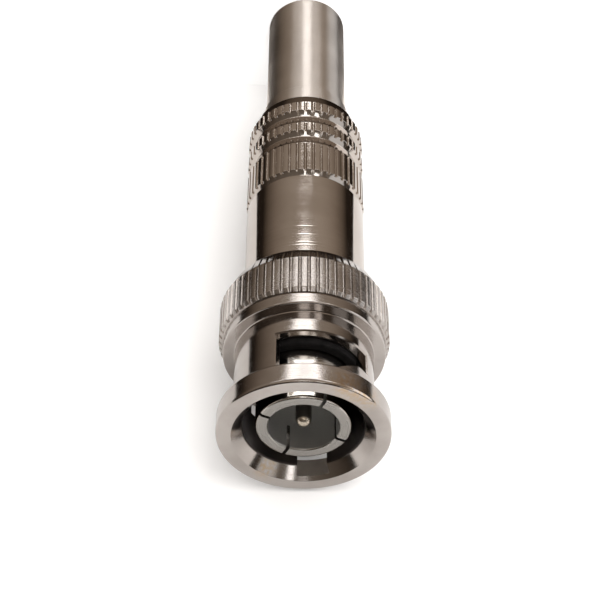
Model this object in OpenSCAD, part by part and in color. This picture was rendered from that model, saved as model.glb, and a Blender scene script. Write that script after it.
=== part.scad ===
// Male BNC cable plug with a bayonet coupling nut, a screw-on barrel and a
// plain tail tube. The axis is Z: the tail end stands on z = 0 and the mating
// face looks up. Angles of the bayonet are clockwise from the -Y side, seen
// from the mating face. All lengths are millimetres.

/* [Coupling nut] */
// Outer diameter of the rim at the mating face
rim_d = 14.5; // [13.8:0.1:16]
// Length of the rim
rim_len = 2.05; // [1.6:0.05:2.4]
// Outer diameter of the neck behind the rim
neck_d = 11.9; // [11.7:0.1:13]
// Length of the neck, from the rim to the flange
neck_len = 6.65; // [6.2:0.05:8]
// Bore that takes the mating jack
nut_bore_d = 10.1; // [9.9:0.05:10.4]
// Depth of the lead-in chamfer at the mouth
mouth_chamfer_len = 1.1; // [0.6:0.05:1.3]
// Width of the lead-in chamfer at the mouth
mouth_chamfer_w = 0.95; // [0.6:0.05:1.2]
// Diameter of the smooth band in front of the knurl
band_d = 14.0; // [13.6:0.1:14.4]
// Length of the smooth band
band_len = 1.15; // [0.8:0.05:2]
// Diameter over the knurl's teeth
knurl_d = 14.8; // [14.5:0.1:16]
// Length of the knurl
knurl_len = 4.05; // [3.6:0.05:6]
// Number of teeth round the knurl
knurl_teeth = 60; // [40:4:80]
// Depth of the knurl's grooves
knurl_depth = 0.35; // [0.2:0.05:0.45]
// Length of the rear taper
taper_len = 1.25; // [0.8:0.05:2]
// Diameter of the nut's rear face
taper_d = 13.3; // [12.8:0.1:14]
// Diameter of the rear cavity that holds the flange and washers
cavity_d = 11.2; // [11:0.05:11.5]

/* [Bayonet slots] */
// Arc of each lug entry, in degrees
entry_arc = 29; // [26:1:34]
// Where each entry starts, in degrees before the -Y side
entry_start = 23; // [0:1:45]
// Diameter of the lug entries in the rim
entry_d = 11.4; // [11.2:0.05:11.5]
// Arc of each window, entry included, in degrees
window_arc = 85; // [70:1:100]
// Rear edge of each window, from the mating face
window_rear = 6.55; // [6.2:0.05:7]
// Width of the window where the lug locks
window_w = 2.05; // [1.9:0.05:2.4]
// Arc over which the cam ramp rises, in degrees
ramp_arc = 32; // [25:1:38]
// Arc between an entry and the nose of its cam, in degrees
cam_lead = 10; // [2:1:14]
// How far the cam's nose stands behind the rim
cam_nose = 0.5; // [0.2:0.05:0.8]

/* [Plug body] */
// Depth of the gasket's seat, from the mating face
seat_depth = 7.0; // [6.7:0.05:7.5]
// Thickness of the body's flange
flange_t = 1.85; // [1.2:0.05:2.2]
// Diameter of the hub, and of the thread that takes the barrel
hub_d = 9.0; // [8.9:0.05:9.2]
// Length of the thread
thread_len = 7.2; // [5:0.1:8]
// Bore behind the outer contact
body_bore_d = 5.8; // [5.6:0.05:6]

/* [Outer contact] */
// Outer diameter of the contact ferrule
ferrule_d = 8.05; // [8:0.01:8.1]
// Inner diameter of the contact ferrule
ferrule_bore_d = 5.9; // [5.7:0.05:6]
// Depth of the ferrule's front edge, from the mating face
ferrule_depth = 1.0; // [0.6:0.05:1.4]
// Length of the four slots
slot_len = 2.4; // [1.5:0.1:5]
// Width of the four slots
slot_w = 0.3; // [0.2:0.05:0.5]
// Diameter of the root that presses into the body
root_d = 6.8; // [6.6:0.05:7.2]
// Length of that root
root_len = 3.5; // [2.5:0.1:4]

/* [Centre pin] */
// Diameter of the contact pin
pin_d = 1.33; // [1.32:0.01:1.37]
// Depth of the pin's tip, from the mating face
pin_depth = 1.35; // [1:0.05:2]
// Diameter of the pin's root inside the front insulator
pin_root_d = 1.8; // [1.75:0.05:1.9]
// Diameter of the pin's shank inside the rear insulator
shank_d = 2.1; // [2:0.05:2.2]
// Diameter of the wire terminal
terminal_d = 3.2; // [3:0.05:3.6]
// Length of the wire terminal
terminal_len = 6.6; // [5:0.1:7.5]
// Diameter of the hole for the cable's core
core_hole_d = 1.2; // [0.9:0.05:1.4]
// Diameter of the screw that holds the core
core_screw_d = 1.6; // [1.4:0.1:2]

/* [Insulators and seals] */
// Length of the front insulator
front_insulator_len = 3.0; // [2:0.1:3.4]
// Thickness of the front gasket
gasket_t = 0.9; // [0.6:0.05:1.2]
// Wall of the insulating sleeve
sleeve_wall = 0.45; // [0.35:0.05:0.5]

/* [Washers] */
// Height of the wave washer at rest
wave_h = 1.65; // [1.3:0.05:1.8]
// Thickness of the wave washer's strip
wave_t = 0.25; // [0.2:0.05:0.4]
// Number of waves
wave_count = 3; // [2:1:5]
// Thickness of the thrust washer
thrust_t = 0.5; // [0.4:0.05:0.7]
// Thickness of the retaining ring
ring_t = 0.7; // [0.5:0.05:0.8]
// Gap between the retaining ring's ends
ring_gap = 2.2; // [1:0.1:4]

/* [Barrel] */
// Outer diameter of the barrel
barrel_d = 10.8; // [10.6:0.05:11]
// Length of the barrel, grip included
barrel_len = 23.0; // [21.5:0.1:30]
// Bore behind the thread
barrel_bore_d = 8.4; // [8.2:0.05:8.5]
// Diameter over the grip's teeth
grip_d = 10.95; // [10.8:0.05:11.4]
// Number of teeth round the grip
grip_teeth = 46; // [36:2:60]
// Depth of the grip's fine grooves
grip_depth = 0.22; // [0.1:0.02:0.3]
// Length of the front grip band
grip_front_len = 5.4; // [4:0.1:7]
// Length of the middle grip band
grip_middle_len = 2.85; // [2.5:0.05:4]
// Length of the rear grip band
grip_rear_len = 2.95; // [2.5:0.05:4]
// Diameter at the bottom of the grooves between the bands
grip_groove_d = 10.0; // [9.8:0.05:10.2]

/* [Tail tube] */
// Outer diameter of the tail tube
tail_d = 7.8; // [7.6:0.05:8]
// Length of the tail tube behind its collar
tail_len = 14.4; // [10:0.1:25]
// Length of the collar behind the barrel
collar_len = 2.6; // [1.5:0.1:4]
// Bore that takes the cable
tail_bore_d = 6.6; // [6.3:0.05:6.8]
// Length of the tube inside the barrel
spigot_len = 4.4; // [3:0.1:5]
// Radius of the tail's rounded end edge
tail_round = 0.3; // [0.15:0.05:0.4]

/* [Cable clamp] */
// Thickness of the clamp's metal
clamp_t = 0.45; // [0.3:0.05:0.5]
// Arc of the trough under the cable, in degrees
trough_arc = 150; // [110:5:180]
// Arc of the two claws round the cable, in degrees
claw_arc = 250; // [210:5:280]
// Length of each claw
claw_len = 2.0; // [1.5:0.1:2.5]

/* [Hidden] */

$fn = 96;
nickel = [0.62, 0.58, 0.55];
dark_nickel = [0.48, 0.44, 0.41];
spring_steel = [0.45, 0.45, 0.47];
white_plastic = [0.90, 0.89, 0.85];
black_rubber = [0.06, 0.06, 0.06];

over = 0.1;              // how far a cut runs past the face it opens
running_gap = 0.05;      // radial clearance of a turning or sliding fit
press_gap = 0.01;        // radial clearance of a pressed fit
face_gap = 0.03;         // axial clearance between faces that meet
edge = 0.15;             // small chamfer on turned edges
core_inset = 0.1;        // how far the metal under a knurl lies inside its grooves

// Places along the axis, worked out from the tail end upwards
barrel_rear = tail_len + collar_len;
barrel_front = barrel_rear + barrel_len;
skirt_cover = 0.75;      // how far the nut's rear skirt covers the barrel
nut_rear = barrel_front - skirt_cover;
knurl_rear = nut_rear + taper_len;
knurl_front = knurl_rear + knurl_len;
neck_rear = knurl_front + band_len;
neck_front = neck_rear + neck_len;
face = neck_front + rim_len;

seat = face - seat_depth;
flange_front = neck_rear - face_gap;
flange_rear = flange_front - flange_t;
wave_top = flange_rear - face_gap;
wave_bottom = wave_top - wave_h;
thrust_top = wave_bottom - face_gap;
thrust_bottom = thrust_top - thrust_t;
ring_top = thrust_bottom - face_gap;
ring_bottom = ring_top - ring_t;
body_rear = barrel_front - thread_len;
stop = body_rear - face_gap;

ferrule_front = face - ferrule_depth;
root_rear = seat - root_len;
front_insulator_front = seat + 0.5;
front_insulator_rear = front_insulator_front - front_insulator_len;
pin_tip = face - pin_depth;

flange_d = cavity_d - 2 * running_gap;
collar_d = nut_bore_d - 2 * running_gap;
ring_groove_depth = 0.4;
ring_d = cavity_d + 2 * ring_groove_depth - 2 * running_gap;
washer_bore_d = hub_d + 2 * running_gap;
washer_d = cavity_d - 2 * running_gap;

clamp_base_t = 0.6;                 // thickness of the clamp's base disc
clamp_base_depth = 1.3;             // length of the clamp's spigot in the body
clamp_wall = 0.4;                   // wall of that spigot
sleeve_d = barrel_bore_d - 2 * running_gap;
sleeve_bore_d = sleeve_d - 2 * sleeve_wall;
clamp_d = sleeve_bore_d - 4 * running_gap;
clamp_top = body_rear - face_gap;
clamp_end = barrel_rear + spigot_len + 0.6;
sleeve_front = stop - face_gap;
sleeve_rear = barrel_rear + spigot_len + face_gap;

rear_insulator_front = root_rear - face_gap;
rear_insulator_rear = body_rear + clamp_base_depth + face_gap;
terminal_top = rear_insulator_rear - face_gap;
terminal_bottom = terminal_top - terminal_len;
core_screw_z = terminal_bottom + 0.35 * terminal_len;

// A solid or void turned about the axis from an outline of [radius, height]
module turned(outline) {
    rotate_extrude() polygon(outline);
}

// A plain ring between two heights
module ring(outer_d, inner_d, bottom, top) {
    turned([[inner_d / 2, bottom], [outer_d / 2, bottom], [outer_d / 2, top], [inner_d / 2, top]]);
}

// A plain cylinder between two heights
module post(d, bottom, top) {
    translate([0, 0, bottom]) cylinder(d = d, h = top - bottom);
}

// A pie slice wide enough to cut the whole part, from one bayonet angle clockwise through an arc
module slice(start, arc, bottom, top, reach = 12) {
    steps = ceil(arc / 30);
    rim = [for (i = [0:steps]) let (a = -90 - start - arc * i / steps) reach * [cos(a), sin(a)]];
    translate([0, 0, bottom]) linear_extrude(top - bottom) polygon(concat([[0, 0]], rim));
}

// The outline of a straight knurl: flat teeth with sloping flanks
function knurl_outline(d, depth, teeth) =
    let (pitch = 360 / teeth, land = 0.46 * pitch, flank = 0.17 * pitch)
    [for (i = [0:teeth - 1], corner = [[-land / 2, d / 2], [land / 2, d / 2],
                                       [land / 2 + flank, d / 2 - depth],
                                       [pitch - land / 2 - flank, d / 2 - depth]])
        corner[1] * [cos(i * pitch + corner[0]), sin(i * pitch + corner[0])]];

// A knurled band between two heights
module knurl_band(d, depth, teeth, bottom, top) {
    translate([0, 0, bottom]) linear_extrude(top - bottom) polygon(knurl_outline(d, depth, teeth));
}

// The front of a window's cam: the wall left in front of the ramp and of the lock
module cam_land() {
    lock_front = face - window_rear + window_w;
    nose_z = neck_front - cam_nose;
    reach = rim_d / 2;
    nose = entry_arc - entry_start + cam_lead;
    slope = atan((nose_z - lock_front) / (neck_d / 2 * sin(ramp_arc)));
    intersection() {
        slice(nose, window_arc - entry_arc, lock_front, face);
        rotate([0, 0, -90 - nose])
            translate([0, 0, nose_z])
                rotate([slope, 0, 0])
                    translate([-reach, -2 * reach, 0]) cube([3 * reach, 3 * reach, 2 * reach]);
    }
}

// The opening cut through the neck, without the cam's land
module window() {
    difference() {
        slice(-entry_start, window_arc, face - window_rear, neck_front);
        cam_land();
    }
}

// Coupling nut: rim, neck with two bayonet windows, smooth band, knurl and rear taper
module coupling_nut() {
    groove_play = face_gap;
    core_r = knurl_d / 2 - knurl_depth - core_inset;
    color(nickel) difference() {
        union() {
            turned([[0, nut_rear], [taper_d / 2, nut_rear], [knurl_d / 2 - knurl_depth, knurl_rear],
                    [core_r, knurl_rear], [core_r, knurl_front], [band_d / 2, knurl_front],
                    [band_d / 2, neck_rear - edge], [band_d / 2 - edge, neck_rear],
                    [neck_d / 2, neck_rear], [neck_d / 2, neck_front],
                    [rim_d / 2 - edge, neck_front], [rim_d / 2, neck_front + edge],
                    [rim_d / 2, face - edge], [rim_d / 2 - edge, face], [0, face]]);
            knurl_band(knurl_d, knurl_depth, knurl_teeth, knurl_rear, knurl_front);
        }
        turned([[0, nut_rear - over], [cavity_d / 2, nut_rear - over],
                [cavity_d / 2, ring_bottom - groove_play],
                [cavity_d / 2 + ring_groove_depth, ring_bottom - groove_play],
                [cavity_d / 2 + ring_groove_depth, ring_top + groove_play],
                [cavity_d / 2, ring_top + groove_play], [cavity_d / 2, neck_rear],
                [nut_bore_d / 2, neck_rear], [nut_bore_d / 2, face - mouth_chamfer_len],
                [nut_bore_d / 2 + mouth_chamfer_w, face], [nut_bore_d / 2 + mouth_chamfer_w, face + over],
                [0, face + over]]);
        for (side = [0, 180]) rotate([0, 0, side]) {
            window();
            intersection() {
                slice(-entry_start, entry_arc, neck_front - over, face + over);
                post(entry_d, neck_front - over, face + over);
            }
        }
    }
}

// Split retaining ring that sits in the nut's inner groove
module retaining_ring() {
    color(spring_steel) difference() {
        ring(ring_d, washer_bore_d, ring_bottom, ring_top);
        translate([0, -ring_gap / 2, ring_bottom - over])
            cube([ring_d, ring_gap, ring_t + 2 * over]);
    }
}

// Flat washer between the wave washer and the retaining ring
module thrust_washer() {
    color(dark_nickel) ring(washer_d, washer_bore_d, thrust_bottom, thrust_top);
}

// Wave washer: a thin ring whose height follows a cosine round the axis
module wave_washer() {
    steps = 72;
    swing = (wave_h - wave_t) / 2;
    middle = (wave_top + wave_bottom) / 2;
    inner_r = washer_bore_d / 2 + running_gap;
    outer_r = washer_d / 2 - running_gap;
    section = [[inner_r, -wave_t / 2], [outer_r, -wave_t / 2], [outer_r, wave_t / 2], [inner_r, wave_t / 2]];
    points = [for (i = [0:steps - 1], s = section)
        let (a = i * 360 / steps) [s[0] * cos(a), s[0] * sin(a), middle + s[1] + swing * cos(wave_count * a)]];
    faces = [for (i = [0:steps - 1], k = [0:3])
        let (here = 4 * i, next = 4 * ((i + 1) % steps), k2 = (k + 1) % 4)
        [here + k, here + k2, next + k2, next + k]];
    color(spring_steel) polyhedron(points, [for (f = faces, half = [[f[0], f[1], f[2]], [f[0], f[2], f[3]]]) half]);
}

// Plug body: collar and flange inside the nut, then the threaded hub
module plug_body() {
    lead = 0.4;
    color(nickel) turned([
        [body_bore_d / 2, body_rear], [hub_d / 2 - lead, body_rear], [hub_d / 2, body_rear + lead],
        [hub_d / 2, flange_rear], [flange_d / 2, flange_rear], [flange_d / 2, flange_front],
        [collar_d / 2, flange_front], [collar_d / 2, seat - edge], [collar_d / 2 - edge, seat],
        [root_d / 2 + press_gap, seat], [root_d / 2 + press_gap, root_rear],
        [body_bore_d / 2, root_rear]]);
}

// Rubber gasket round the ferrule's base
module front_gasket() {
    color(black_rubber)
        ring(collar_d - 2 * running_gap, ferrule_d + 2 * press_gap, seat + press_gap, seat + gasket_t);
}

// Outer contact: a ferrule with four slots, and the root that presses into the body
module outer_contact() {
    lip = 0.25;
    color(dark_nickel) difference() {
        turned([
            [ferrule_bore_d / 2, root_rear + press_gap], [root_d / 2, root_rear + press_gap],
            [root_d / 2, seat + press_gap], [ferrule_d / 2, seat + press_gap],
            [ferrule_d / 2, ferrule_front - lip], [ferrule_d / 2 - lip, ferrule_front],
            [ferrule_bore_d / 2 + lip, ferrule_front], [ferrule_bore_d / 2, ferrule_front - lip]]);
        for (turn = [0:90:270])
            rotate([0, 0, turn - 26])
                translate([0, -slot_w / 2, ferrule_front - slot_len])
                    cube([ferrule_d, slot_w, slot_len + over]);
    }
}

// White insulator that centres the pin in the ferrule's base
module front_insulator() {
    color(white_plastic)
        ring(ferrule_bore_d - 2 * press_gap, pin_root_d + 2 * press_gap, front_insulator_rear,
             front_insulator_front);
}

// White insulator that carries the pin's shank in the body
module rear_insulator() {
    color(white_plastic)
        ring(body_bore_d - 2 * press_gap, shank_d + 2 * press_gap, rear_insulator_rear, rear_insulator_front);
}

// Centre pin: rounded tip, root, shank and a drilled terminal for the cable's core
module centre_pin() {
    tip_r = pin_d / 2;
    hole_depth = 0.75 * terminal_len;
    shank_top = front_insulator_rear - face_gap;
    tip_arc = [for (a = [0:15:90]) [tip_r * cos(a), pin_tip - tip_r + tip_r * sin(a)]];
    color(nickel) difference() {
        turned(concat([[0, terminal_bottom], [terminal_d / 2 - edge, terminal_bottom],
            [terminal_d / 2, terminal_bottom + edge], [terminal_d / 2, terminal_top],
            [shank_d / 2, terminal_top], [shank_d / 2, shank_top], [pin_root_d / 2, shank_top],
            [pin_root_d / 2, front_insulator_front], [tip_r, front_insulator_front]], tip_arc));
        post(core_hole_d, terminal_bottom - over, terminal_bottom + hole_depth);
        translate([0, 0, core_screw_z]) rotate([-90, 0, 0])
            cylinder(d = core_screw_d + 2 * press_gap, h = terminal_d);
    }
}

// Slotted grub screw in the terminal
module core_screw() {
    bottom = core_hole_d / 2;
    length = terminal_d / 2 - bottom;
    slot = 0.3 * core_screw_d;
    color(dark_nickel) translate([0, 0, core_screw_z]) rotate([-90, 0, 0]) difference() {
        translate([0, 0, bottom]) cylinder(d = core_screw_d, h = length);
        translate([-core_screw_d, -slot / 2, bottom + length - slot])
            cube([2 * core_screw_d, slot, slot + over]);
    }
}

// Cable clamp: a spigot and disc on the body, a trough, and two claws round the jacket
module cable_clamp() {
    base_bottom = clamp_top - clamp_base_t;
    bore_r = clamp_d / 2 - clamp_t;
    spigot_r = body_bore_d / 2 - press_gap;
    // Each step of the opening: where it ends, counted from the claws' end, and the arc of metal it leaves
    steps = [[claw_len, claw_arc], [1.5 * claw_len, trough_arc], [2.5 * claw_len, claw_arc],
             [base_bottom - clamp_end, trough_arc]];
    color(nickel) difference() {
        turned([[bore_r, clamp_end], [clamp_d / 2, clamp_end], [clamp_d / 2, clamp_top],
                [spigot_r, clamp_top], [spigot_r, body_rear + clamp_base_depth],
                [spigot_r - clamp_wall, body_rear + clamp_base_depth],
                [spigot_r - clamp_wall, base_bottom], [bore_r, base_bottom]]);
        for (i = [0:3]) {
            opening = 360 - steps[i][1];
            bottom = i == 0 ? clamp_end - over : clamp_end + steps[i - 1][0];
            slice(-opening / 2, opening, bottom, clamp_end + steps[i][0]);
        }
    }
}

// Plastic sleeve that keeps the terminal off the barrel
module insulating_sleeve() {
    color(white_plastic) ring(sleeve_d, sleeve_bore_d, sleeve_rear, sleeve_front);
}

// Barrel: threaded mouth, plain tube and the three knurled grip bands
module barrel() {
    band_starts = [barrel_rear, barrel_rear + grip_rear_len, barrel_rear + grip_rear_len + grip_middle_len];
    band_lens = [grip_rear_len, grip_middle_len, grip_front_len];
    band_d_root = grip_d - 2 * grip_depth;
    groove = (band_d_root - grip_groove_d) / 2;
    bevel = 0.35;
    rear_land = 1.2;
    grip_front = barrel_rear + grip_rear_len + grip_middle_len + grip_front_len;
    color(nickel) difference() {
        union() {
            turned([[0, grip_front], [barrel_d / 2, grip_front], [barrel_d / 2, barrel_front - edge],
                    [barrel_d / 2 - edge, barrel_front], [0, barrel_front]]);
            for (i = [0:2]) {
                bottom = band_starts[i];
                top = bottom + band_lens[i];
                turned([[0, bottom], [grip_groove_d / 2, bottom], [band_d_root / 2, bottom + rear_land],
                        [band_d_root / 2 - core_inset, bottom + rear_land],
                        [band_d_root / 2 - core_inset, top - bevel],
                        [band_d_root / 2, top - bevel], [grip_groove_d / 2, top - bevel + groove],
                        [grip_groove_d / 2, top], [0, top]]);
                knurl_band(grip_d, grip_depth, grip_teeth, bottom + rear_land, top - bevel);
            }
        }
        turned([[0, barrel_rear - over], [barrel_bore_d / 2, barrel_rear - over],
                [barrel_bore_d / 2, stop], [hub_d / 2 + running_gap, stop],
                [hub_d / 2 + running_gap, barrel_front + over], [0, barrel_front + over]]);
    }
}

// Tail tube: its collar and spigot press into the barrel's rear bore
module tail_tube() {
    spigot_d = barrel_bore_d - 2 * press_gap;
    end_arc = [for (a = [-90:15:0])
        [tail_d / 2 - tail_round + tail_round * cos(a), tail_round + tail_round * sin(a)]];
    color(nickel) turned(concat([[tail_bore_d / 2, 0]], end_arc,
        [[tail_d / 2, tail_len], [spigot_d / 2 - edge, tail_len], [spigot_d / 2, tail_len + edge],
         [spigot_d / 2, barrel_rear + spigot_len], [tail_bore_d / 2, barrel_rear + spigot_len]]));
}

coupling_nut();
retaining_ring();
thrust_washer();
wave_washer();
plug_body();
front_gasket();
outer_contact();
front_insulator();
rear_insulator();
centre_pin();
core_screw();
cable_clamp();
insulating_sleeve();
barrel();
tail_tube();
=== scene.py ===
"""A male BNC cable plug on a pale floor in front of a pale backdrop.

Meshes are drawn in millimetres and scaled to metres.
"""
import math

import bmesh
import bpy
from mathutils import Matrix, Vector


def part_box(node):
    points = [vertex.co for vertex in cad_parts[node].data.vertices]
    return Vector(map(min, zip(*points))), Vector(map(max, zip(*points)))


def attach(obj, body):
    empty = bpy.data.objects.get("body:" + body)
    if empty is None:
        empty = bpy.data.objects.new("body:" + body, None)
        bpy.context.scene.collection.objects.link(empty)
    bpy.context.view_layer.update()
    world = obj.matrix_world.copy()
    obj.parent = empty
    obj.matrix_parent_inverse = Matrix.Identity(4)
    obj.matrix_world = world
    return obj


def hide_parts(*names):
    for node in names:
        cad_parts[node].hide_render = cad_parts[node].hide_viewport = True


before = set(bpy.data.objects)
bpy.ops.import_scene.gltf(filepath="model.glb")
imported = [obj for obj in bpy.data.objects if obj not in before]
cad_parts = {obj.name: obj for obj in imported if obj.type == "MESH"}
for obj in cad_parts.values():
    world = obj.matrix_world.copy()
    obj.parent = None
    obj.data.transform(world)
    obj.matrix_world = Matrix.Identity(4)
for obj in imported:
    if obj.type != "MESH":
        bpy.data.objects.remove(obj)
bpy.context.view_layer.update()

MM = 0.001
RUNNING_GAP = 0.05   # radial clearance of a turning or sliding fit
PRESS_GAP = 0.01     # radial clearance of a pressed fit
FACE_GAP = 0.03      # axial clearance between faces that meet


def span(node):
    """Lowest and highest z of a CAD node, in millimetres."""
    lo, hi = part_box(node)
    return lo.z / MM, hi.z / MM


def widest(node):
    """Largest radius of a CAD node, in millimetres."""
    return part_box(node)[1].x / MM


# ---- sizes, in millimetres ----------------------------------------------------------------------

NUT_REAR, FACE = span("coupling_nut")
RING_BOTTOM, RING_TOP = span("retaining_ring")
BODY_REAR, SEAT = span("plug_body")
BARREL_REAR, BARREL_FRONT = span("barrel")
TAIL_TOP = span("tail_tube")[1]
CONTACT_REAR, CONTACT_FRONT = span("outer_contact")
GASKET_BOTTOM, GASKET_TOP = span("front_gasket")
PIN_REAR, PIN_TIP = span("centre_pin")
FRONT_INSULATOR = span("front_insulator")
REAR_INSULATOR = span("rear_insulator")

RIM_R, RIM_LEN = 7.25, 2.05
NECK_R, NECK_LEN = 5.95, 6.65
NUT_BORE_R, CAVITY_R, GROOVE_R = 5.05, 5.6, 6.0
MOUTH_LEN, MOUTH_W = 1.1, 0.95
BAND_R, BAND_LEN = 7.0, 1.15
KNURL_LEN, KNURL_DEPTH, KNURL_TEETH = 4.05, 0.27, 60
KNURL_R = widest("coupling_nut")
TAPER_R = 6.65

ENTRY_START, ENTRY_ARC, ENTRY_R = 23.0, 29.0, 5.7
WINDOW_ARC, WINDOW_REAR, WINDOW_W = 85.0, 6.55, 2.05
RAMP_ARC, CAM_LEAD, CAM_NOSE = 32.0, 10.0, 0.5

FLANGE_T, HUB_R, COLLAR_R = 1.85, 4.5, 5.0
BODY_BORE_R, ROOT_R, ROOT_LEN = 2.9, 3.4, 3.5
THREAD_LEN, THREAD_PITCH, THREAD_DEPTH = 7.2, 0.75, 0.4

FERRULE_R, FERRULE_BORE_R = 4.025, 2.95
SLOT_LEN, SLOT_W, SLOT_TURN = 2.4, 0.3, 26.0

PIN_R, PIN_ROOT_R, SHANK_R, TERMINAL_R, TERMINAL_LEN = 0.665, 0.9, 1.05, 1.6, 6.6
CORE_HOLE_R, CORE_SCREW_R = 0.6, 0.8

BARREL_R, BARREL_BORE_R = 5.4, 4.2
GRIP_R, GRIP_DEPTH, GRIP_TEETH, GRIP_GROOVE_R = 5.475, 0.17, 46, 5.0
GRIP_LENS = (2.95, 2.85, 5.4)
LATHE_RINGS = [BARREL_FRONT - depth for depth in (4.9, 3.9, 2.95, 2.6)]
RING_DEPTH = 0.003
# One lathe ring: places along the axis from its middle, and how deep it is there
RING_OUTLINE = ((-0.12, 0), (-0.09, 0), (-0.02, RING_DEPTH), (0.02, RING_DEPTH), (0.09, 0), (0.12, 0))

TAIL_R, TAIL_LEN, TAIL_BORE_R, TAIL_ROUND = 3.9, 14.4, 3.3, 0.3

NECK_FRONT = FACE - RIM_LEN
NECK_REAR = NECK_FRONT - NECK_LEN
KNURL_FRONT = NECK_REAR - BAND_LEN
KNURL_REAR = KNURL_FRONT - KNURL_LEN

# ---- outlines and meshes ------------------------------------------------------------------------

ARC_STEPS = 4       # steps of the arc at a rounded corner
SUPPORT = 1.15      # how far out a corner's support points lie, in reaches of its arc


def rounded(corners):
    """Turns [(radius, z, corner radius)] into outline points.

    Each rounded corner gets an arc, and a support point on either side that keeps the shading flat.
    """
    points = []
    for i, (r, z, size) in enumerate(corners):
        here = Vector((r, z))
        back = Vector(corners[i - 1][:2]) - here
        ahead = Vector(corners[(i + 1) % len(corners)][:2]) - here
        half = back.angle(ahead) / 2
        if size <= 0 or half > math.radians(88):
            points.append(here)
            continue
        reach = min(size / math.tan(half), 0.42 * back.length, 0.42 * ahead.length)
        u, v = back.normalized(), ahead.normalized()
        centre = here + (u + v).normalized() * (reach / math.cos(half))
        start = here + u * reach - centre
        turn = start.angle_signed(here + v * reach - centre)
        points.append(here + u * reach * SUPPORT)
        for k in range(ARC_STEPS + 1):
            a = -turn * k / ARC_STEPS
            cos_a, sin_a = math.cos(a), math.sin(a)
            spun = (start.x * cos_a - start.y * sin_a, start.x * sin_a + start.y * cos_a)
            points.append(centre + Vector(spun))
        points.append(here + v * reach * SUPPORT)
    return points


def even_angles(steps):
    return [2 * math.pi * i / steps for i in range(steps)]


def mesh_object(name, bm):
    bmesh.ops.recalc_face_normals(bm, faces=bm.faces)
    mesh = bpy.data.meshes.new(name)
    bm.to_mesh(mesh)
    bm.free()
    piece = bpy.data.objects.new(name, mesh)
    bpy.context.scene.collection.objects.link(piece)
    return piece


def smooth(piece, angle=33):
    """Smooth shading, with edges sharper than the angle kept crisp."""
    piece.data.shade_smooth()
    piece.data.set_sharp_from_angle(angle=math.radians(angle))


def lathe(name, outline, angles, radius=None, closed=True):
    """Turns an outline about Z.

    radius(r, z, j) may change a point's radius at angle j, for knurls and threads.
    """
    bm = bmesh.new()
    rows = []
    for p in outline:
        row = []
        for j, a in enumerate(angles):
            r = radius(p[0], p[1], j) if radius else p[0]
            row.append(bm.verts.new((r * math.cos(a) * MM, r * math.sin(a) * MM, p[1] * MM)))
        rows.append(row)
    count = len(rows) if closed else len(rows) - 1
    for i in range(count):
        low, high = rows[i], rows[(i + 1) % len(rows)]
        for j in range(len(angles)):
            k = (j + 1) % len(angles)
            bm.faces.new((low[j], low[k], high[k], high[j]))
    if not closed:
        bmesh.ops.remove_doubles(bm, verts=bm.verts, dist=1e-8)
        bmesh.ops.dissolve_degenerate(bm, edges=bm.edges, dist=1e-9)
    return mesh_object(name, bm)


def carve(piece, cutter):
    """Cuts one closed mesh out of another and deletes the cutter."""
    cut = piece.modifiers.new("cut", "BOOLEAN")
    cut.operation = "DIFFERENCE"
    cut.solver = "EXACT"
    cut.object = cutter
    bpy.context.view_layer.update()
    depsgraph = bpy.context.evaluated_depsgraph_get()
    done = bpy.data.meshes.new_from_object(piece.evaluated_get(depsgraph))
    piece.modifiers.clear()
    old, name = piece.data, piece.data.name
    piece.data = done
    bpy.data.meshes.remove(old)
    done.name = name
    bpy.data.meshes.remove(cutter.data)


def box_cutter(boxes):
    """One mesh of separate boxes, each (size, centre, turn about Z in degrees), in millimetres."""
    bm = bmesh.new()
    for size, centre, turn in boxes:
        place = Matrix.Rotation(math.radians(turn), 4, "Z") @ Matrix.Translation(Vector(centre) * MM)
        made = bmesh.ops.create_cube(bm, size=1)["verts"]
        bmesh.ops.scale(bm, vec=Vector(size) * MM, verts=made)
        bmesh.ops.transform(bm, matrix=place, verts=made)
    return mesh_object("cutter", bm)


def bayonet_point(r, turn, z):
    """A point at a bayonet angle: degrees clockwise from -Y, seen from the mating face."""
    a = math.radians(turn)
    return Vector((-r * math.sin(a), -r * math.cos(a), z)) * MM


def radial_cutter(chains, levels):
    """One mesh of closed shapes that widen outwards, one shape for each chain.

    A chain is [(turn, low z, high z, grow top)], and a level is (radius, growth).
    """
    bm = bmesh.new()
    for chain in chains:
        last = len(chain) - 1
        rings = []
        for r, grow in levels:
            low, high = [], []
            for i, (turn, z_low, z_high, grow_top) in enumerate(chain):
                side = -1 if i == 0 else 1 if i == last else 0
                turn += side * math.degrees(grow / r)
                low.append(bm.verts.new(bayonet_point(r, turn, z_low - grow)))
                high.append(bm.verts.new(bayonet_point(r, turn, z_high + (grow if grow_top else 0))))
            rings.append((low, high))
        for (low_a, high_a), (low_b, high_b) in zip(rings, rings[1:]):
            for i in range(last):
                bm.faces.new((low_a[i], low_a[i + 1], low_b[i + 1], low_b[i]))
                bm.faces.new((high_a[i], high_a[i + 1], high_b[i + 1], high_b[i]))
            for i in (0, last):
                bm.faces.new((low_a[i], high_a[i], high_b[i], low_b[i]))
        for low, high in (rings[0], rings[-1]):
            for i in range(last):
                bm.faces.new((low[i], low[i + 1], high[i + 1], high[i]))
    return mesh_object("cutter", bm)


# One tooth of a knurl: places along the pitch and how high the tooth stands there
TOOTH = ((-0.47, 0.0), (-0.42, 0.08), (-0.32, 0.82), (-0.28, 0.96), (-0.15, 1.0), (0.0, 1.0),
         (0.15, 1.0), (0.28, 0.96), (0.32, 0.82), (0.42, 0.08), (0.47, 0.0), (0.5, 0.0))


def knurl_angles(teeth):
    return [2 * math.pi * (i + place) / teeth for i in range(teeth) for place, _ in TOOTH]


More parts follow.
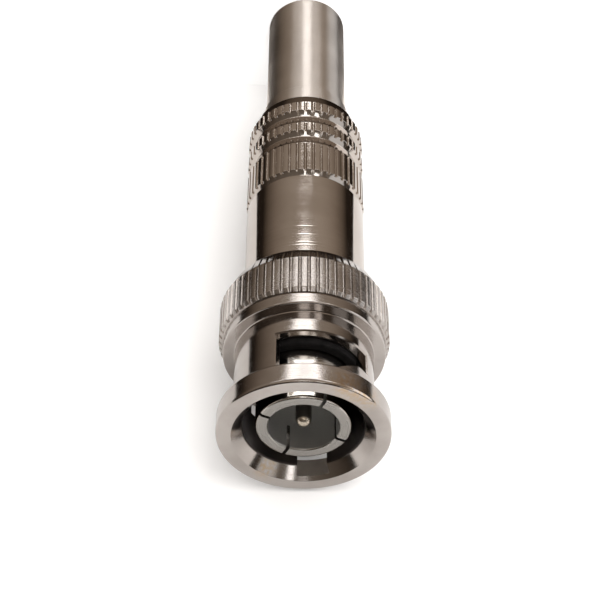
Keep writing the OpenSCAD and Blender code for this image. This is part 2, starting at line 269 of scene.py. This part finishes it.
def knurl_radius(tip, depth, bands):
    """A radius rule that presses the teeth into the outline within bands of z."""
    def rule(r, z, j):
        if r > tip - depth and any(low <= z <= high for low, high in bands):
            return min(r, tip - depth + depth * TOOTH[j % len(TOOTH)][1])
        return r
    return rule


# ---- the pieces ---------------------------------------------------------------------------------

def window_chain(side):
    """The outline of one bayonet window: lug entry, cam ramp and lock. side turns it about Z, in degrees."""
    rear = FACE - WINDOW_REAR
    lock_front = rear + WINDOW_W
    nose = ENTRY_ARC - ENTRY_START + CAM_LEAD
    nose_z = NECK_FRONT - CAM_NOSE
    end = WINDOW_ARC - ENTRY_START
    slack = 0.02
    entry_steps, ramp_steps = 10, 24
    chain = []
    for i in range(entry_steps + 1):
        turn = -ENTRY_START + (nose + ENTRY_START) * i / entry_steps
        chain.append((turn - (slack if i == entry_steps else 0), rear, NECK_FRONT + slack, False))
    for i in range(ramp_steps + 1):
        turn = nose + (end - nose) * i / ramp_steps
        rise = min(1.0, math.sin(math.radians(turn - nose)) / math.sin(math.radians(RAMP_ARC)))
        chain.append((turn, rear, nose_z + (lock_front - nose_z) * rise, True))
    return [(turn + side, low, high, grow) for turn, low, high, grow in chain]


def entry_chain(side):
    """The lug entry through the rim, cut a little past it at both ends."""
    low, high = NECK_FRONT - 0.3, FACE + 0.5
    steps = 10
    return [(side - ENTRY_START + ENTRY_ARC * i / steps, low, high, False) for i in range(steps + 1)]


def coupling_nut():
    root = KNURL_R - KNURL_DEPTH
    bevel = 0.3
    outline = rounded([
        (TAPER_R, NUT_REAR, 0.12), (root, KNURL_REAR, 0), (KNURL_R, KNURL_REAR + bevel, 0.08),
        (KNURL_R, KNURL_FRONT - bevel, 0.08), (root, KNURL_FRONT, 0),
        (BAND_R, KNURL_FRONT + 0.02, 0), (BAND_R, NECK_REAR, 0.12),
        (NECK_R, NECK_REAR, 0.12), (NECK_R, NECK_FRONT, 0.1), (RIM_R, NECK_FRONT, 0.16), (RIM_R, FACE, 0.28),
        (NUT_BORE_R + MOUTH_W, FACE, 0.07), (NUT_BORE_R, FACE - MOUTH_LEN, 0.07), (NUT_BORE_R, NECK_REAR, 0),
        (CAVITY_R, NECK_REAR, 0), (CAVITY_R, RING_TOP + FACE_GAP, 0),
        (GROOVE_R, RING_TOP + FACE_GAP, 0), (GROOVE_R, RING_BOTTOM - FACE_GAP, 0),
        (CAVITY_R, RING_BOTTOM - FACE_GAP, 0), (CAVITY_R, NUT_REAR, 0.1)])
    rule = knurl_radius(KNURL_R, KNURL_DEPTH, [(KNURL_REAR, KNURL_FRONT)])
    nut = lathe("coupling_nut_visible", outline, knurl_angles(KNURL_TEETH), rule)
    inside, edge = 4.0, 0.11
    flare = ((inside, 0.0), (NECK_R - 0.13, 0.0), (NECK_R + 0.01, edge), (NECK_R + 0.35, edge))
    carve(nut, radial_cutter([window_chain(0), window_chain(180)], flare))
    carve(nut, radial_cutter([entry_chain(0), entry_chain(180)], ((inside, 0.0), (ENTRY_R, 0.0))))
    smooth(nut)
    return nut


def barrel():
    root = GRIP_R - GRIP_DEPTH
    rear_land, bevel, step = 1.2, 0.35, 0.12
    corners, bands = [], []
    bottom = BARREL_REAR
    for length in GRIP_LENS:
        top = bottom + length
        low, high = bottom + rear_land, top - bevel
        corners += [(GRIP_GROOVE_R, bottom, 0.05), (root, low - 0.05, 0.06), (root, low, 0),
                    (GRIP_R, low + step, 0.04), (GRIP_R, high - step, 0.04), (root, high, 0),
                    (GRIP_GROOVE_R, high + root - GRIP_GROOVE_R, 0.05)]
        bands.append((low - 0.001, high + 0.001))
        bottom = top
    corners += [(GRIP_GROOVE_R, bottom, 0.05), (BARREL_R, bottom + 0.3, 0.12)]
    for z in LATHE_RINGS:
        for away, depth in RING_OUTLINE:
            corners.append((BARREL_R - depth, z + away, 0))
    thread_r, stop = HUB_R + RUNNING_GAP, BODY_REAR - FACE_GAP
    corners += [(BARREL_R, BARREL_FRONT, 0.15), (thread_r, BARREL_FRONT, 0.05), (thread_r, stop, 0),
                (BARREL_BORE_R, stop, 0), (BARREL_BORE_R, BARREL_REAR, 0.05)]
    rule = knurl_radius(GRIP_R, GRIP_DEPTH, bands)
    piece = lathe("barrel_visible", rounded(corners), knurl_angles(GRIP_TEETH), rule)
    smooth(piece)
    return piece


def tail_tube():
    spigot_r = BARREL_BORE_R - PRESS_GAP
    outline = rounded([
        (TAIL_BORE_R, 0.0, 0.12), (TAIL_R, 0.0, TAIL_ROUND), (TAIL_R, TAIL_LEN, 0.08),
        (spigot_r, TAIL_LEN, 0.14), (spigot_r, TAIL_TOP, 0.1), (TAIL_BORE_R, TAIL_TOP, 0.05)])
    piece = lathe("tail_tube_visible", outline, even_angles(160))
    smooth(piece)
    return piece


def plug_body():
    flange_r = CAVITY_R - RUNNING_GAP
    flange_front = NECK_REAR - FACE_GAP
    flange_rear = flange_front - FLANGE_T
    socket_r = ROOT_R + PRESS_GAP
    top = BODY_REAR + THREAD_LEN - 0.3
    lead = 0.4
    rows_a_turn = 8
    rows = int((top - BODY_REAR - lead) / (THREAD_PITCH / rows_a_turn))
    thread = [(HUB_R, BODY_REAR + lead + (top - BODY_REAR - lead) * i / rows) for i in range(rows + 1)]
    front = rounded([
        (HUB_R, top + 0.2, 0), (HUB_R, flange_rear, 0.05), (flange_r, flange_rear, 0.08),
        (flange_r, flange_front, 0.08), (COLLAR_R, flange_front, 0.04), (COLLAR_R, SEAT, 0.12),
        (socket_r, SEAT, 0), (socket_r, SEAT - ROOT_LEN, 0), (BODY_BORE_R, SEAT - ROOT_LEN, 0)])
    outline = [(BODY_BORE_R, BODY_REAR), (HUB_R - lead, BODY_REAR)] + thread + [tuple(p) for p in front]
    steps = 144

    def rule(r, z, j):
        if r < HUB_R or z > top:
            return r
        phase = (z / THREAD_PITCH - j / steps) % 1.0
        groove = max(0.0, 1.0 - abs(phase - 0.5) / 0.42)
        fade = min(1.0, (z - BODY_REAR) / 0.6, (top - z) / 0.4)
        return r - THREAD_DEPTH * groove * max(0.0, fade)

    piece = lathe("plug_body_visible", outline, even_angles(steps), rule)
    smooth(piece, 50)
    return piece


def outer_contact():
    shoulder = SEAT + PRESS_GAP
    outline = rounded([
        (FERRULE_BORE_R, CONTACT_REAR, 0), (ROOT_R, CONTACT_REAR, 0.05), (ROOT_R, shoulder, 0),
        (FERRULE_R, shoulder, 0.05), (FERRULE_R, CONTACT_FRONT, 0.28),
        (FERRULE_BORE_R, CONTACT_FRONT, 0.22)])
    piece = lathe("outer_contact_visible", outline, even_angles(180))
    over = 1.0
    centre = (FERRULE_R, 0, CONTACT_FRONT - SLOT_LEN / 2 + over / 2)
    size = (FERRULE_R, SLOT_W, SLOT_LEN + over)
    carve(piece, box_cutter([(size, centre, turn - SLOT_TURN) for turn in (0, 90, 180, 270)]))
    smooth(piece)
    return piece


def centre_pin():
    dome = []
    for turn in range(0, 90, 10):
        a = math.radians(turn)
        dome.append((PIN_R * math.cos(a), PIN_TIP - PIN_R + PIN_R * math.sin(a)))
    shank_top = FRONT_INSULATOR[0] - FACE_GAP
    terminal_top = PIN_REAR + TERMINAL_LEN
    hole_end = PIN_REAR + 0.75 * TERMINAL_LEN
    edge = 0.15
    outline = [(0.0, hole_end + 0.3), (CORE_HOLE_R, hole_end), (CORE_HOLE_R, PIN_REAR + edge),
               (CORE_HOLE_R + edge, PIN_REAR), (TERMINAL_R - edge, PIN_REAR), (TERMINAL_R, PIN_REAR + edge),
               (TERMINAL_R, terminal_top), (SHANK_R, terminal_top), (SHANK_R, shank_top),
               (PIN_ROOT_R, shank_top), (PIN_ROOT_R, FRONT_INSULATOR[1]), (PIN_R, FRONT_INSULATOR[1])]
    outline += dome + [(0.0, PIN_TIP)]
    piece = lathe("centre_pin_visible", outline, even_angles(64), closed=False)
    hole_z = PIN_REAR + 0.35 * TERMINAL_LEN
    hole_r = (CORE_SCREW_R + PRESS_GAP) * MM
    bm = bmesh.new()
    lying = Matrix.Rotation(math.radians(90), 4, "X")
    place = Matrix.Translation((0, TERMINAL_R * MM, hole_z * MM)) @ lying
    bmesh.ops.create_cone(bm, cap_ends=True, segments=40, radius1=hole_r, radius2=hole_r,
                          depth=2 * TERMINAL_R * MM, matrix=place)
    carve(piece, mesh_object("cutter", bm))
    smooth(piece)
    return piece


def ring_piece(name, outer, inner, bottom, top, edge):
    """A plain ring with rounded edges."""
    outline = rounded([(inner, bottom, edge), (outer, bottom, edge), (outer, top, edge), (inner, top, edge)])
    piece = lathe(name, outline, even_angles(128))
    smooth(piece)
    return piece


def front_gasket():
    outer, inner = COLLAR_R - RUNNING_GAP, FERRULE_R + PRESS_GAP
    return ring_piece("front_gasket_visible", outer, inner, GASKET_BOTTOM, GASKET_TOP, 0.2)


def front_insulator():
    outer, inner = FERRULE_BORE_R - PRESS_GAP, PIN_ROOT_R + PRESS_GAP
    return ring_piece("front_insulator_visible", outer, inner, *FRONT_INSULATOR, 0.1)


def rear_insulator():
    outer, inner = BODY_BORE_R - PRESS_GAP, SHANK_R + PRESS_GAP
    return ring_piece("rear_insulator_visible", outer, inner, *REAR_INSULATOR, 0.1)


# ---- materials ----------------------------------------------------------------------------------

class Nodes:
    """A short way to write a node tree."""

    def __init__(self, tree):
        self.tree = tree
        tree.nodes.clear()

    def add(self, kind, inputs=None, **settings):
        node = self.tree.nodes.new(kind)
        for name, value in settings.items():
            setattr(node, name, value)
        for name, value in (inputs or {}).items():
            if isinstance(value, bpy.types.NodeSocket):
                self.tree.links.new(value, node.inputs[name])
            else:
                node.inputs[name].default_value = value
        return node

    def math(self, operation, a, b=0.0, clamp=False):
        return self.add("ShaderNodeMath", {0: a, 1: b}, operation=operation, use_clamp=clamp).outputs[0]

    def remap(self, value, low, high, to_low=0.0, to_high=1.0):
        inputs = {"Value": value, "From Min": low, "From Max": high, "To Min": to_low, "To Max": to_high}
        return self.add("ShaderNodeMapRange", inputs, interpolation_type="SMOOTHSTEP").outputs[0]

    def mix(self, factor, a, b):
        node = self.add("ShaderNodeMix", data_type="RGBA")
        for name, value in (("Factor_Float", factor), ("A_Color", a), ("B_Color", b)):
            socket = next(s for s in node.inputs if s.identifier == name)
            if isinstance(value, bpy.types.NodeSocket):
                self.tree.links.new(value, socket)
            else:
                socket.default_value = value
        return next(s for s in node.outputs if s.identifier == "Result_Color")

    def noise(self, vector, scale, detail=4.0, roughness=0.55):
        inputs = {"Vector": vector, "Scale": scale, "Detail": detail, "Roughness": roughness}
        return self.add("ShaderNodeTexNoise", inputs).outputs["Fac"]


def new_material(name):
    mat = bpy.data.materials.new(name)
    mat.use_nodes = True
    return mat, Nodes(mat.node_tree)


def turned_vector(n):
    """Radius and height of the point shaded, so that noise on it runs in rings as a lathe leaves them."""
    place = n.add("ShaderNodeTexCoord").outputs["Object"]
    parts = n.add("ShaderNodeSeparateXYZ", {0: place}).outputs
    flat = n.add("ShaderNodeCombineXYZ", {"X": parts["X"], "Y": parts["Y"]}).outputs[0]
    radius = n.add("ShaderNodeVectorMath", {0: flat}, operation="LENGTH").outputs["Value"]
    return place, n.add("ShaderNodeCombineXYZ", {"X": radius, "Y": parts["Z"]}).outputs[0]


BRONZE = (0.46, 0.33, 0.20, 1)
# Painted shade: a near-black tone for the shade inside the nut's bore
NUT_BORE_SHADE = (0.055, 0.047, 0.044, 1)
FADE = 0.03     # half the width over which a painted shade band or a matt stretch fades out, in millimetres


def plated(name, light, dark, rough, rings=0.25, grain=0.15, brushed=0.0, worn=(), painted_shade=(), matt=()):
    """Plated metal: cloudy tone, turning rings and fine grain.

    Brushing stretches its highlights along the axis. Worn spots are (x, y, z, radius), painted shade is
    (inner radius, outer radius, colour, added roughness), a darker tone painted where shade falls in a
    radius band, and a matt stretch is (lowest z, highest z, added roughness), in millimetres.
    """
    mat, n = new_material(name)
    place, turned = turned_vector(n)
    cloud = n.noise(place, 260.0, 3.0)
    fine = n.noise(place, 9000.0, 3.0)
    lines = n.noise(turned, 16000.0, 2.0, 0.7)
    colour = n.mix(n.remap(cloud, 0.3, 0.7), dark, light)
    for x, y, z, reach in worn:
        spot = (x * MM, y * MM, z * MM)
        away = n.add("ShaderNodeVectorMath", {0: place, 1: spot}, operation="DISTANCE").outputs["Value"]
        near = n.remap(away, 0.1 * reach * MM, reach * MM, 0.8, 0.0)
        patch = n.math("MULTIPLY", near, n.remap(n.noise(place, 2600.0), 0.3, 0.7), clamp=True)
        colour = n.mix(patch, colour, BRONZE)
    wobble = n.math("ADD", n.remap(cloud, 0.3, 0.7, -0.03, 0.03), n.remap(lines, 0.3, 0.7, -0.02, 0.03))
    radius = n.add("ShaderNodeSeparateXYZ", {0: turned}).outputs["X"]
    # Painted shade: within each radius band the colour turns to a darker tone that stands in for shade in
    # bores, faces and recesses
    for inner, outer, tone, added in painted_shade:
        inside = n.remap(radius, (outer - FADE) * MM, (outer + FADE) * MM, 1.0, 0.0)
        outside = n.remap(radius, (inner - FADE) * MM, (inner + FADE) * MM)
        shade_band = n.math("MULTIPLY", inside, outside)
        colour = n.mix(shade_band, colour, tone)
        wobble = n.math("ADD", wobble, n.math("MULTIPLY", shade_band, added))
    along = n.add("ShaderNodeSeparateXYZ", {0: place}).outputs["Z"]
    for low, high, added in matt:
        within = n.math("MULTIPLY", n.remap(along, (low - FADE) * MM, (low + FADE) * MM),
                        n.remap(along, (high - FADE) * MM, (high + FADE) * MM, 1.0, 0.0))
        wobble = n.math("ADD", wobble, n.math("MULTIPLY", within, added))
    height = n.math("ADD", n.math("MULTIPLY", lines, rings), n.math("MULTIPLY", fine, grain))
    bump = n.add("ShaderNodeBump", {"Height": height, "Strength": 0.35, "Distance": 0.00002}).outputs[0]
    shader = n.add("ShaderNodeBsdfPrincipled", {
        "Base Color": colour, "Metallic": 1.0, "Roughness": n.math("ADD", wobble, rough), "Normal": bump})
    if brushed:
        shader.inputs["Anisotropic"].default_value = brushed
        shader.inputs["Anisotropic Rotation"].default_value = 0.25
        tangent = n.add("ShaderNodeTangent", direction_type="RADIAL", axis="Z").outputs[0]
        n.tree.links.new(tangent, shader.inputs["Tangent"])
    n.add("ShaderNodeOutputMaterial", {"Surface": shader.outputs[0]})
    return mat


def plain_solid(name, light, dark, rough, gloss=0.5, subsurface=0.0):
    """Rubber or moulded plastic: a mottled tone with a fine bump."""
    mat, n = new_material(name)
    place = n.add("ShaderNodeTexCoord").outputs["Object"]
    mottle = n.noise(place, 1500.0, 5.0)
    colour = n.mix(n.remap(mottle, 0.3, 0.7), dark, light)
    height = n.add("ShaderNodeBump", {"Height": mottle, "Strength": 0.2, "Distance": 0.00005}).outputs[0]
    shader = n.add("ShaderNodeBsdfPrincipled", {
        "Base Color": colour, "Roughness": rough, "Specular IOR Level": gloss, "Normal": height,
        "Subsurface Weight": subsurface, "Subsurface Radius": (0.001, 0.001, 0.001)})
    n.add("ShaderNodeOutputMaterial", {"Surface": shader.outputs[0]})
    return mat


NUT_WEAR = ((-4.3, -5.8, FACE - 0.5, 2.0), (-3.2, -6.5, FACE - 0.5, 1.6), (-5.3, -4.9, FACE - 0.5, 1.6),
            (3.1, 4.6, FACE - 0.5, 1.7))
# Painted shade: the ferrule's front face and its bore take darker tones of the same nickel as its outer
# surface
CONTACT_FACE_SHADE = (0.0, FERRULE_R - 0.1, (0.31, 0.295, 0.275, 1), 0.12)
CONTACT_BORE_SHADE = (0.0, FERRULE_BORE_R + 0.02, (0.5, 0.5, 0.49, 1), 0.3)
# Painted shade: the pin's shaft behind its tip is darkened for the shade it stands in deep in the bore
PIN_SHAFT_SHADE = (PIN_R - 0.06, TERMINAL_R, (0.14, 0.125, 0.11, 1), 0.15)

# Painted shade: the nut's bore and the inner part of its mouth chamfer take a near-black tone for the shade
# in the recess
NUT_NICKEL = plated(
    "nut_nickel", (0.465, 0.43, 0.405, 1), (0.385, 0.35, 0.325, 1), 0.12, grain=0.3, worn=NUT_WEAR,
    painted_shade=((0.0, NUT_BORE_R + 0.1, NUT_BORE_SHADE, 0.2),), matt=((KNURL_REAR, KNURL_FRONT, 0.13),))
BARREL_NICKEL = plated("barrel_nickel", (0.56, 0.51, 0.47, 1), (0.51, 0.46, 0.42, 1), 0.08, rings=0.15)
TAIL_NICKEL = plated(
    "tail_nickel", (0.74, 0.685, 0.635, 1), (0.66, 0.61, 0.565, 1), 0.34, rings=0.6, brushed=0.9)
BODY_NICKEL = plated("body_nickel", (0.50, 0.46, 0.42, 1), (0.42, 0.38, 0.34, 1), 0.24)
# One nickel in three tones: the light outer surface is a painted highlight, and the darker face and bore are
# painted shade
CONTACT_NICKEL = plated(
    "contact_nickel", (0.80, 0.77, 0.72, 1), (0.68, 0.65, 0.60, 1), 0.14, grain=0.4,
    painted_shade=(CONTACT_FACE_SHADE, CONTACT_BORE_SHADE))
PIN_NICKEL = plated(
    "pin_nickel", (0.50, 0.44, 0.36, 1), (0.40, 0.35, 0.28, 1), 0.25, painted_shade=(PIN_SHAFT_SHADE,))
SPRING_STEEL = plated("spring_steel", (0.42, 0.42, 0.43, 1), (0.32, 0.32, 0.33, 1), 0.3)
RUBBER = plain_solid("black_rubber", (0.010, 0.009, 0.009, 1), (0.004, 0.004, 0.004, 1), 0.9, gloss=0.15)
WHITE_PLASTIC = plain_solid(
    "white_plastic", (0.78, 0.77, 0.73, 1), (0.70, 0.69, 0.65, 1), 0.45, subsurface=0.1)
SLEEVE_PLASTIC = plain_solid(
    "sleeve_plastic", (0.74, 0.73, 0.68, 1), (0.66, 0.65, 0.60, 1), 0.4, subsurface=0.15)


def dress(piece, node, body, material):
    """Gives a new piece its material and its body, and hides the CAD node that it stands for."""
    piece.data.materials.clear()
    piece.data.materials.append(material)
    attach(piece, body)
    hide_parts(node)


dress(coupling_nut(), "coupling_nut", "nut", NUT_NICKEL)
dress(barrel(), "barrel", "barrel", BARREL_NICKEL)
dress(tail_tube(), "tail_tube", "barrel", TAIL_NICKEL)
dress(plug_body(), "plug_body", "plug", BODY_NICKEL)
dress(outer_contact(), "outer_contact", "plug", CONTACT_NICKEL)
dress(centre_pin(), "centre_pin", "plug", PIN_NICKEL)
dress(front_gasket(), "front_gasket", "plug", RUBBER)
dress(front_insulator(), "front_insulator", "plug", WHITE_PLASTIC)
dress(rear_insulator(), "rear_insulator", "plug", WHITE_PLASTIC)

CARRIED_OVER = {
    "retaining_ring": SPRING_STEEL, "thrust_washer": BODY_NICKEL, "wave_washer": SPRING_STEEL,
    "core_screw": SPRING_STEEL, "cable_clamp": BODY_NICKEL, "insulating_sleeve": SLEEVE_PLASTIC,
}
for node_name, node_material in CARRIED_OVER.items():
    node_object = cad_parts[node_name]
    node_object.data.materials.clear()
    node_object.data.materials.append(node_material)


# ---- floor, backdrop, room and lamps ------------------------------------------------------------

MIRRORED_GLOW = 0.03
CONTACT_SHADOW = 14.0 * MM
SHEET = 400.0


def paper(name, glow_seen, one_sided):
    """Pale paper that shows white to the camera and keeps soft shadows.

    One-sided paper is clear from behind, and its glow is darkened by ambient occlusion near the connector as
    a painted contact shadow, but not near the floor.
    """
    mat, n = new_material(name)
    path = n.add("ShaderNodeLightPath").outputs
    mirror_ray = n.math("MAXIMUM", path["Is Glossy Ray"], path["Is Transmission Ray"])
    mirrored = n.math("MULTIPLY", mirror_ray, MIRRORED_GLOW)
    seen = n.math("ADD", n.math("MULTIPLY", path["Is Camera Ray"], glow_seen), mirrored)
    matt = n.add("ShaderNodeBsdfDiffuse", {"Color": (0.86, 0.86, 0.86, 1)})
    if one_sided:
        place = n.add("ShaderNodeNewGeometry").outputs["Position"]
        height = n.add("ShaderNodeSeparateXYZ", {0: place}).outputs["Z"]
        seam = n.remap(height, 4.0 * MM, 16.0 * MM, 1.0, 0.0)
        # Painted shadow: ambient occlusion darkens the glow near the connector, but not close to the floor
        # seam
        painted_shadow_factor = n.add("ShaderNodeAmbientOcclusion", {"Distance": CONTACT_SHADOW}).outputs["AO"]
        seen = n.math("MULTIPLY", seen, n.math("MAXIMUM", painted_shadow_factor, seam))
    glow = n.add("ShaderNodeEmission", {"Color": (1, 1, 1, 1), "Strength": seen})
    surface = n.add("ShaderNodeAddShader", {0: matt.outputs[0], 1: glow.outputs[0]}).outputs[0]
    if one_sided:
        back = n.add("ShaderNodeNewGeometry").outputs["Backfacing"]
        clear = n.add("ShaderNodeBsdfTransparent").outputs[0]
        surface = n.add("ShaderNodeMixShader", {0: back, 1: surface, 2: clear}).outputs[0]
    n.add("ShaderNodeOutputMaterial", {"Surface": surface})
    return mat


def sheet(name, corners, material):
    """A flat sheet of paper."""
    bm = bmesh.new()
    bm.faces.new([bm.verts.new(Vector(c) * MM) for c in corners])
    mesh = bpy.data.meshes.new(name)
    bm.to_mesh(mesh)
    bm.free()
    piece = bpy.data.objects.new(name, mesh)
    bpy.context.scene.collection.objects.link(piece)
    mesh.materials.append(material)
    return piece


floor_corners = [(-SHEET, -SHEET, 0), (SHEET, -SHEET, 0), (SHEET, SHEET, 0), (-SHEET, SHEET, 0)]
floor = sheet("floor", floor_corners, paper("floor_paper", 0.55, False))
floor.visible_glossy = False
floor.visible_shadow = False
backdrop_y = RIM_R + 0.35
backdrop_corners = [(-SHEET, backdrop_y, 0), (SHEET, backdrop_y, 0),
                    (SHEET, backdrop_y, SHEET), (-SHEET, backdrop_y, SHEET)]
sheet("backdrop", backdrop_corners, paper("backdrop_paper", 0.37, True))


# Each strip light: lowest and highest angle over the backdrop, middle and half width, brightness, and
# the end of the room that it is at
STRIPS = ((30.0, 39.5, -0.02, 0.12, 6.0, "tail"), (46.0, 49.3, -0.02, 0.55, 4.2, "tail"),
          (49.9, 58.0, -0.08, 0.42, 1.8, "tail"), (47.0, 55.0, 0.0, 0.12, 3.4, "face"),
          (38.0, 45.0, -0.28, 0.07, 3.0, "face"), (10.0, 32.0, -0.74, 0.18, 0.8, "face"),
          (3.0, 30.0, -0.85, 0.3, 1.8, "side"))
# The room's colour from the backdrop's horizon (0) to straight over the backdrop (1)
ROOM_COLOURS = ((0.0, (0.02, 0.014, 0.010)), (0.12, (0.10, 0.075, 0.055)), (0.35, (0.24, 0.19, 0.15)),
                (0.60, (0.36, 0.30, 0.245)), (1.0, (0.42, 0.36, 0.31)))


def room():
    """The room that the metal mirrors: dark at the backdrop's horizon, warm above it, with strip lights."""
    world = bpy.data.worlds.new("room")
    bpy.context.scene.world = world
    world.use_nodes = True
    n = Nodes(world.node_tree)
    parts = n.add("ShaderNodeSeparateXYZ", {0: n.add("ShaderNodeTexCoord").outputs["Generated"]}).outputs
    rise = n.math("MULTIPLY", parts["Y"], -1.0)
    ramp = n.add("ShaderNodeValToRGB", {"Fac": rise})
    stops = ramp.color_ramp.elements
    stops.remove(stops[1])
    for i, (place, colour) in enumerate(ROOM_COLOURS):
        stop = stops[0] if i == 0 else stops.new(place)
        stop.position = place
        stop.color = (*colour, 1)
    angle = n.math("MULTIPLY", n.math("ARCSINE", rise), 180 / math.pi)
    side = n.remap(parts["X"], -1.0, 1.0, 1.2, 1.0)
    behind = n.remap(parts["Z"], 0.0, 0.5)
    dim = n.math("MULTIPLY", behind, n.remap(angle, 46.0, 52.0, 0.55, -0.6))
    shade = n.math("MULTIPLY", side, n.math("SUBTRACT", 1.0, dim))
    tone = {0: ramp.outputs["Color"], "Scale": shade}
    light = n.add("ShaderNodeVectorMath", tone, operation="SCALE").outputs[0]
    tailward = n.remap(parts["Z"], -0.1, 0.1, 1.0, 0.0)
    faceward = n.math("SUBTRACT", 1.0, tailward)
    sideways = n.remap(n.math("ABSOLUTE", n.math("ADD", parts["Z"], 0.1)), 0.38, 0.5, 1.0, 0.0)
    for low, high, centre, half_width, strength, toward in STRIPS:
        over_low = n.remap(angle, low - 0.3, low + 0.3)
        under_high = n.remap(angle, high - 0.3, high + 0.3, 1.0, 0.0)
        tall = n.math("MULTIPLY", over_low, under_high)
        off = n.math("ABSOLUTE", n.math("SUBTRACT", parts["X"], centre))
        wide = n.remap(off, half_width * 0.85, half_width * 1.15, 1.0, 0.0)
        facing = {"tail": tailward, "face": faceward, "side": sideways}[toward]
        glow = n.math("MULTIPLY", n.math("MULTIPLY", tall, wide), facing)
        light = n.mix(glow, light, (strength, strength, strength, 1))
    camera_ray = n.add("ShaderNodeLightPath").outputs["Is Camera Ray"]
    seen = n.mix(camera_ray, light, (1, 1, 1, 1))
    background = n.add("ShaderNodeBackground", {"Color": seen, "Strength": 1.0})
    n.add("ShaderNodeOutputWorld", {"Surface": background.outputs[0]})


room()


def lamp(name, place, size, power):
    """A soft square lamp that looks at the connector, with its place and size in metres.

    The metal mirrors the room's strip lights in place of the lamps.
    """
    data = bpy.data.lights.new(name, "AREA")
    data.size = size
    data.energy = power
    piece = bpy.data.objects.new(name, data)
    piece.visible_glossy = False
    piece.location = place
    piece.rotation_mode = "QUATERNION"
    target = Vector((0, 0, 0.035))
    piece.rotation_quaternion = (target - Vector(place)).to_track_quat("-Z", "Y")
    bpy.context.scene.collection.objects.link(piece)


lamp("key", (-0.16, -0.36, 0.16), 0.30, 0.95)
lamp("top", (-0.08, -0.18, 0.42), 0.25, 0.55)


def camera():
    """The camera: aimed at a point near the nut's rear, tail upwards in the picture, with a slight lean."""
    rise, lean, side = math.radians(42.746), math.radians(0.572), math.radians(0.388)
    distance = 138.62 * MM
    aim = Vector((0.396, 0.0, FACE - 15.42)) * MM
    line = Vector((math.sin(side) * math.cos(rise), math.cos(side) * math.cos(rise), -math.sin(rise)))
    right = line.cross(Vector((0, 0, -1))).normalized()
    up = right.cross(line)
    leant_right = right * math.cos(lean) + up * math.sin(lean)
    leant_up = up * math.cos(lean) - right * math.sin(lean)
    data = bpy.data.cameras.new("camera")
    data.lens = 93.72
    data.sensor_width = 36.0
    data.clip_start = 0.005
    data.clip_end = 5.0
    piece = bpy.data.objects.new("camera", data)
    turn = Matrix((leant_right, leant_up, -line)).transposed().to_4x4()
    piece.matrix_world = Matrix.Translation(aim - line * distance) @ turn
    bpy.context.scene.collection.objects.link(piece)
    bpy.context.scene.camera = piece


camera()
bpy.context.scene.view_settings.view_transform = "Standard"
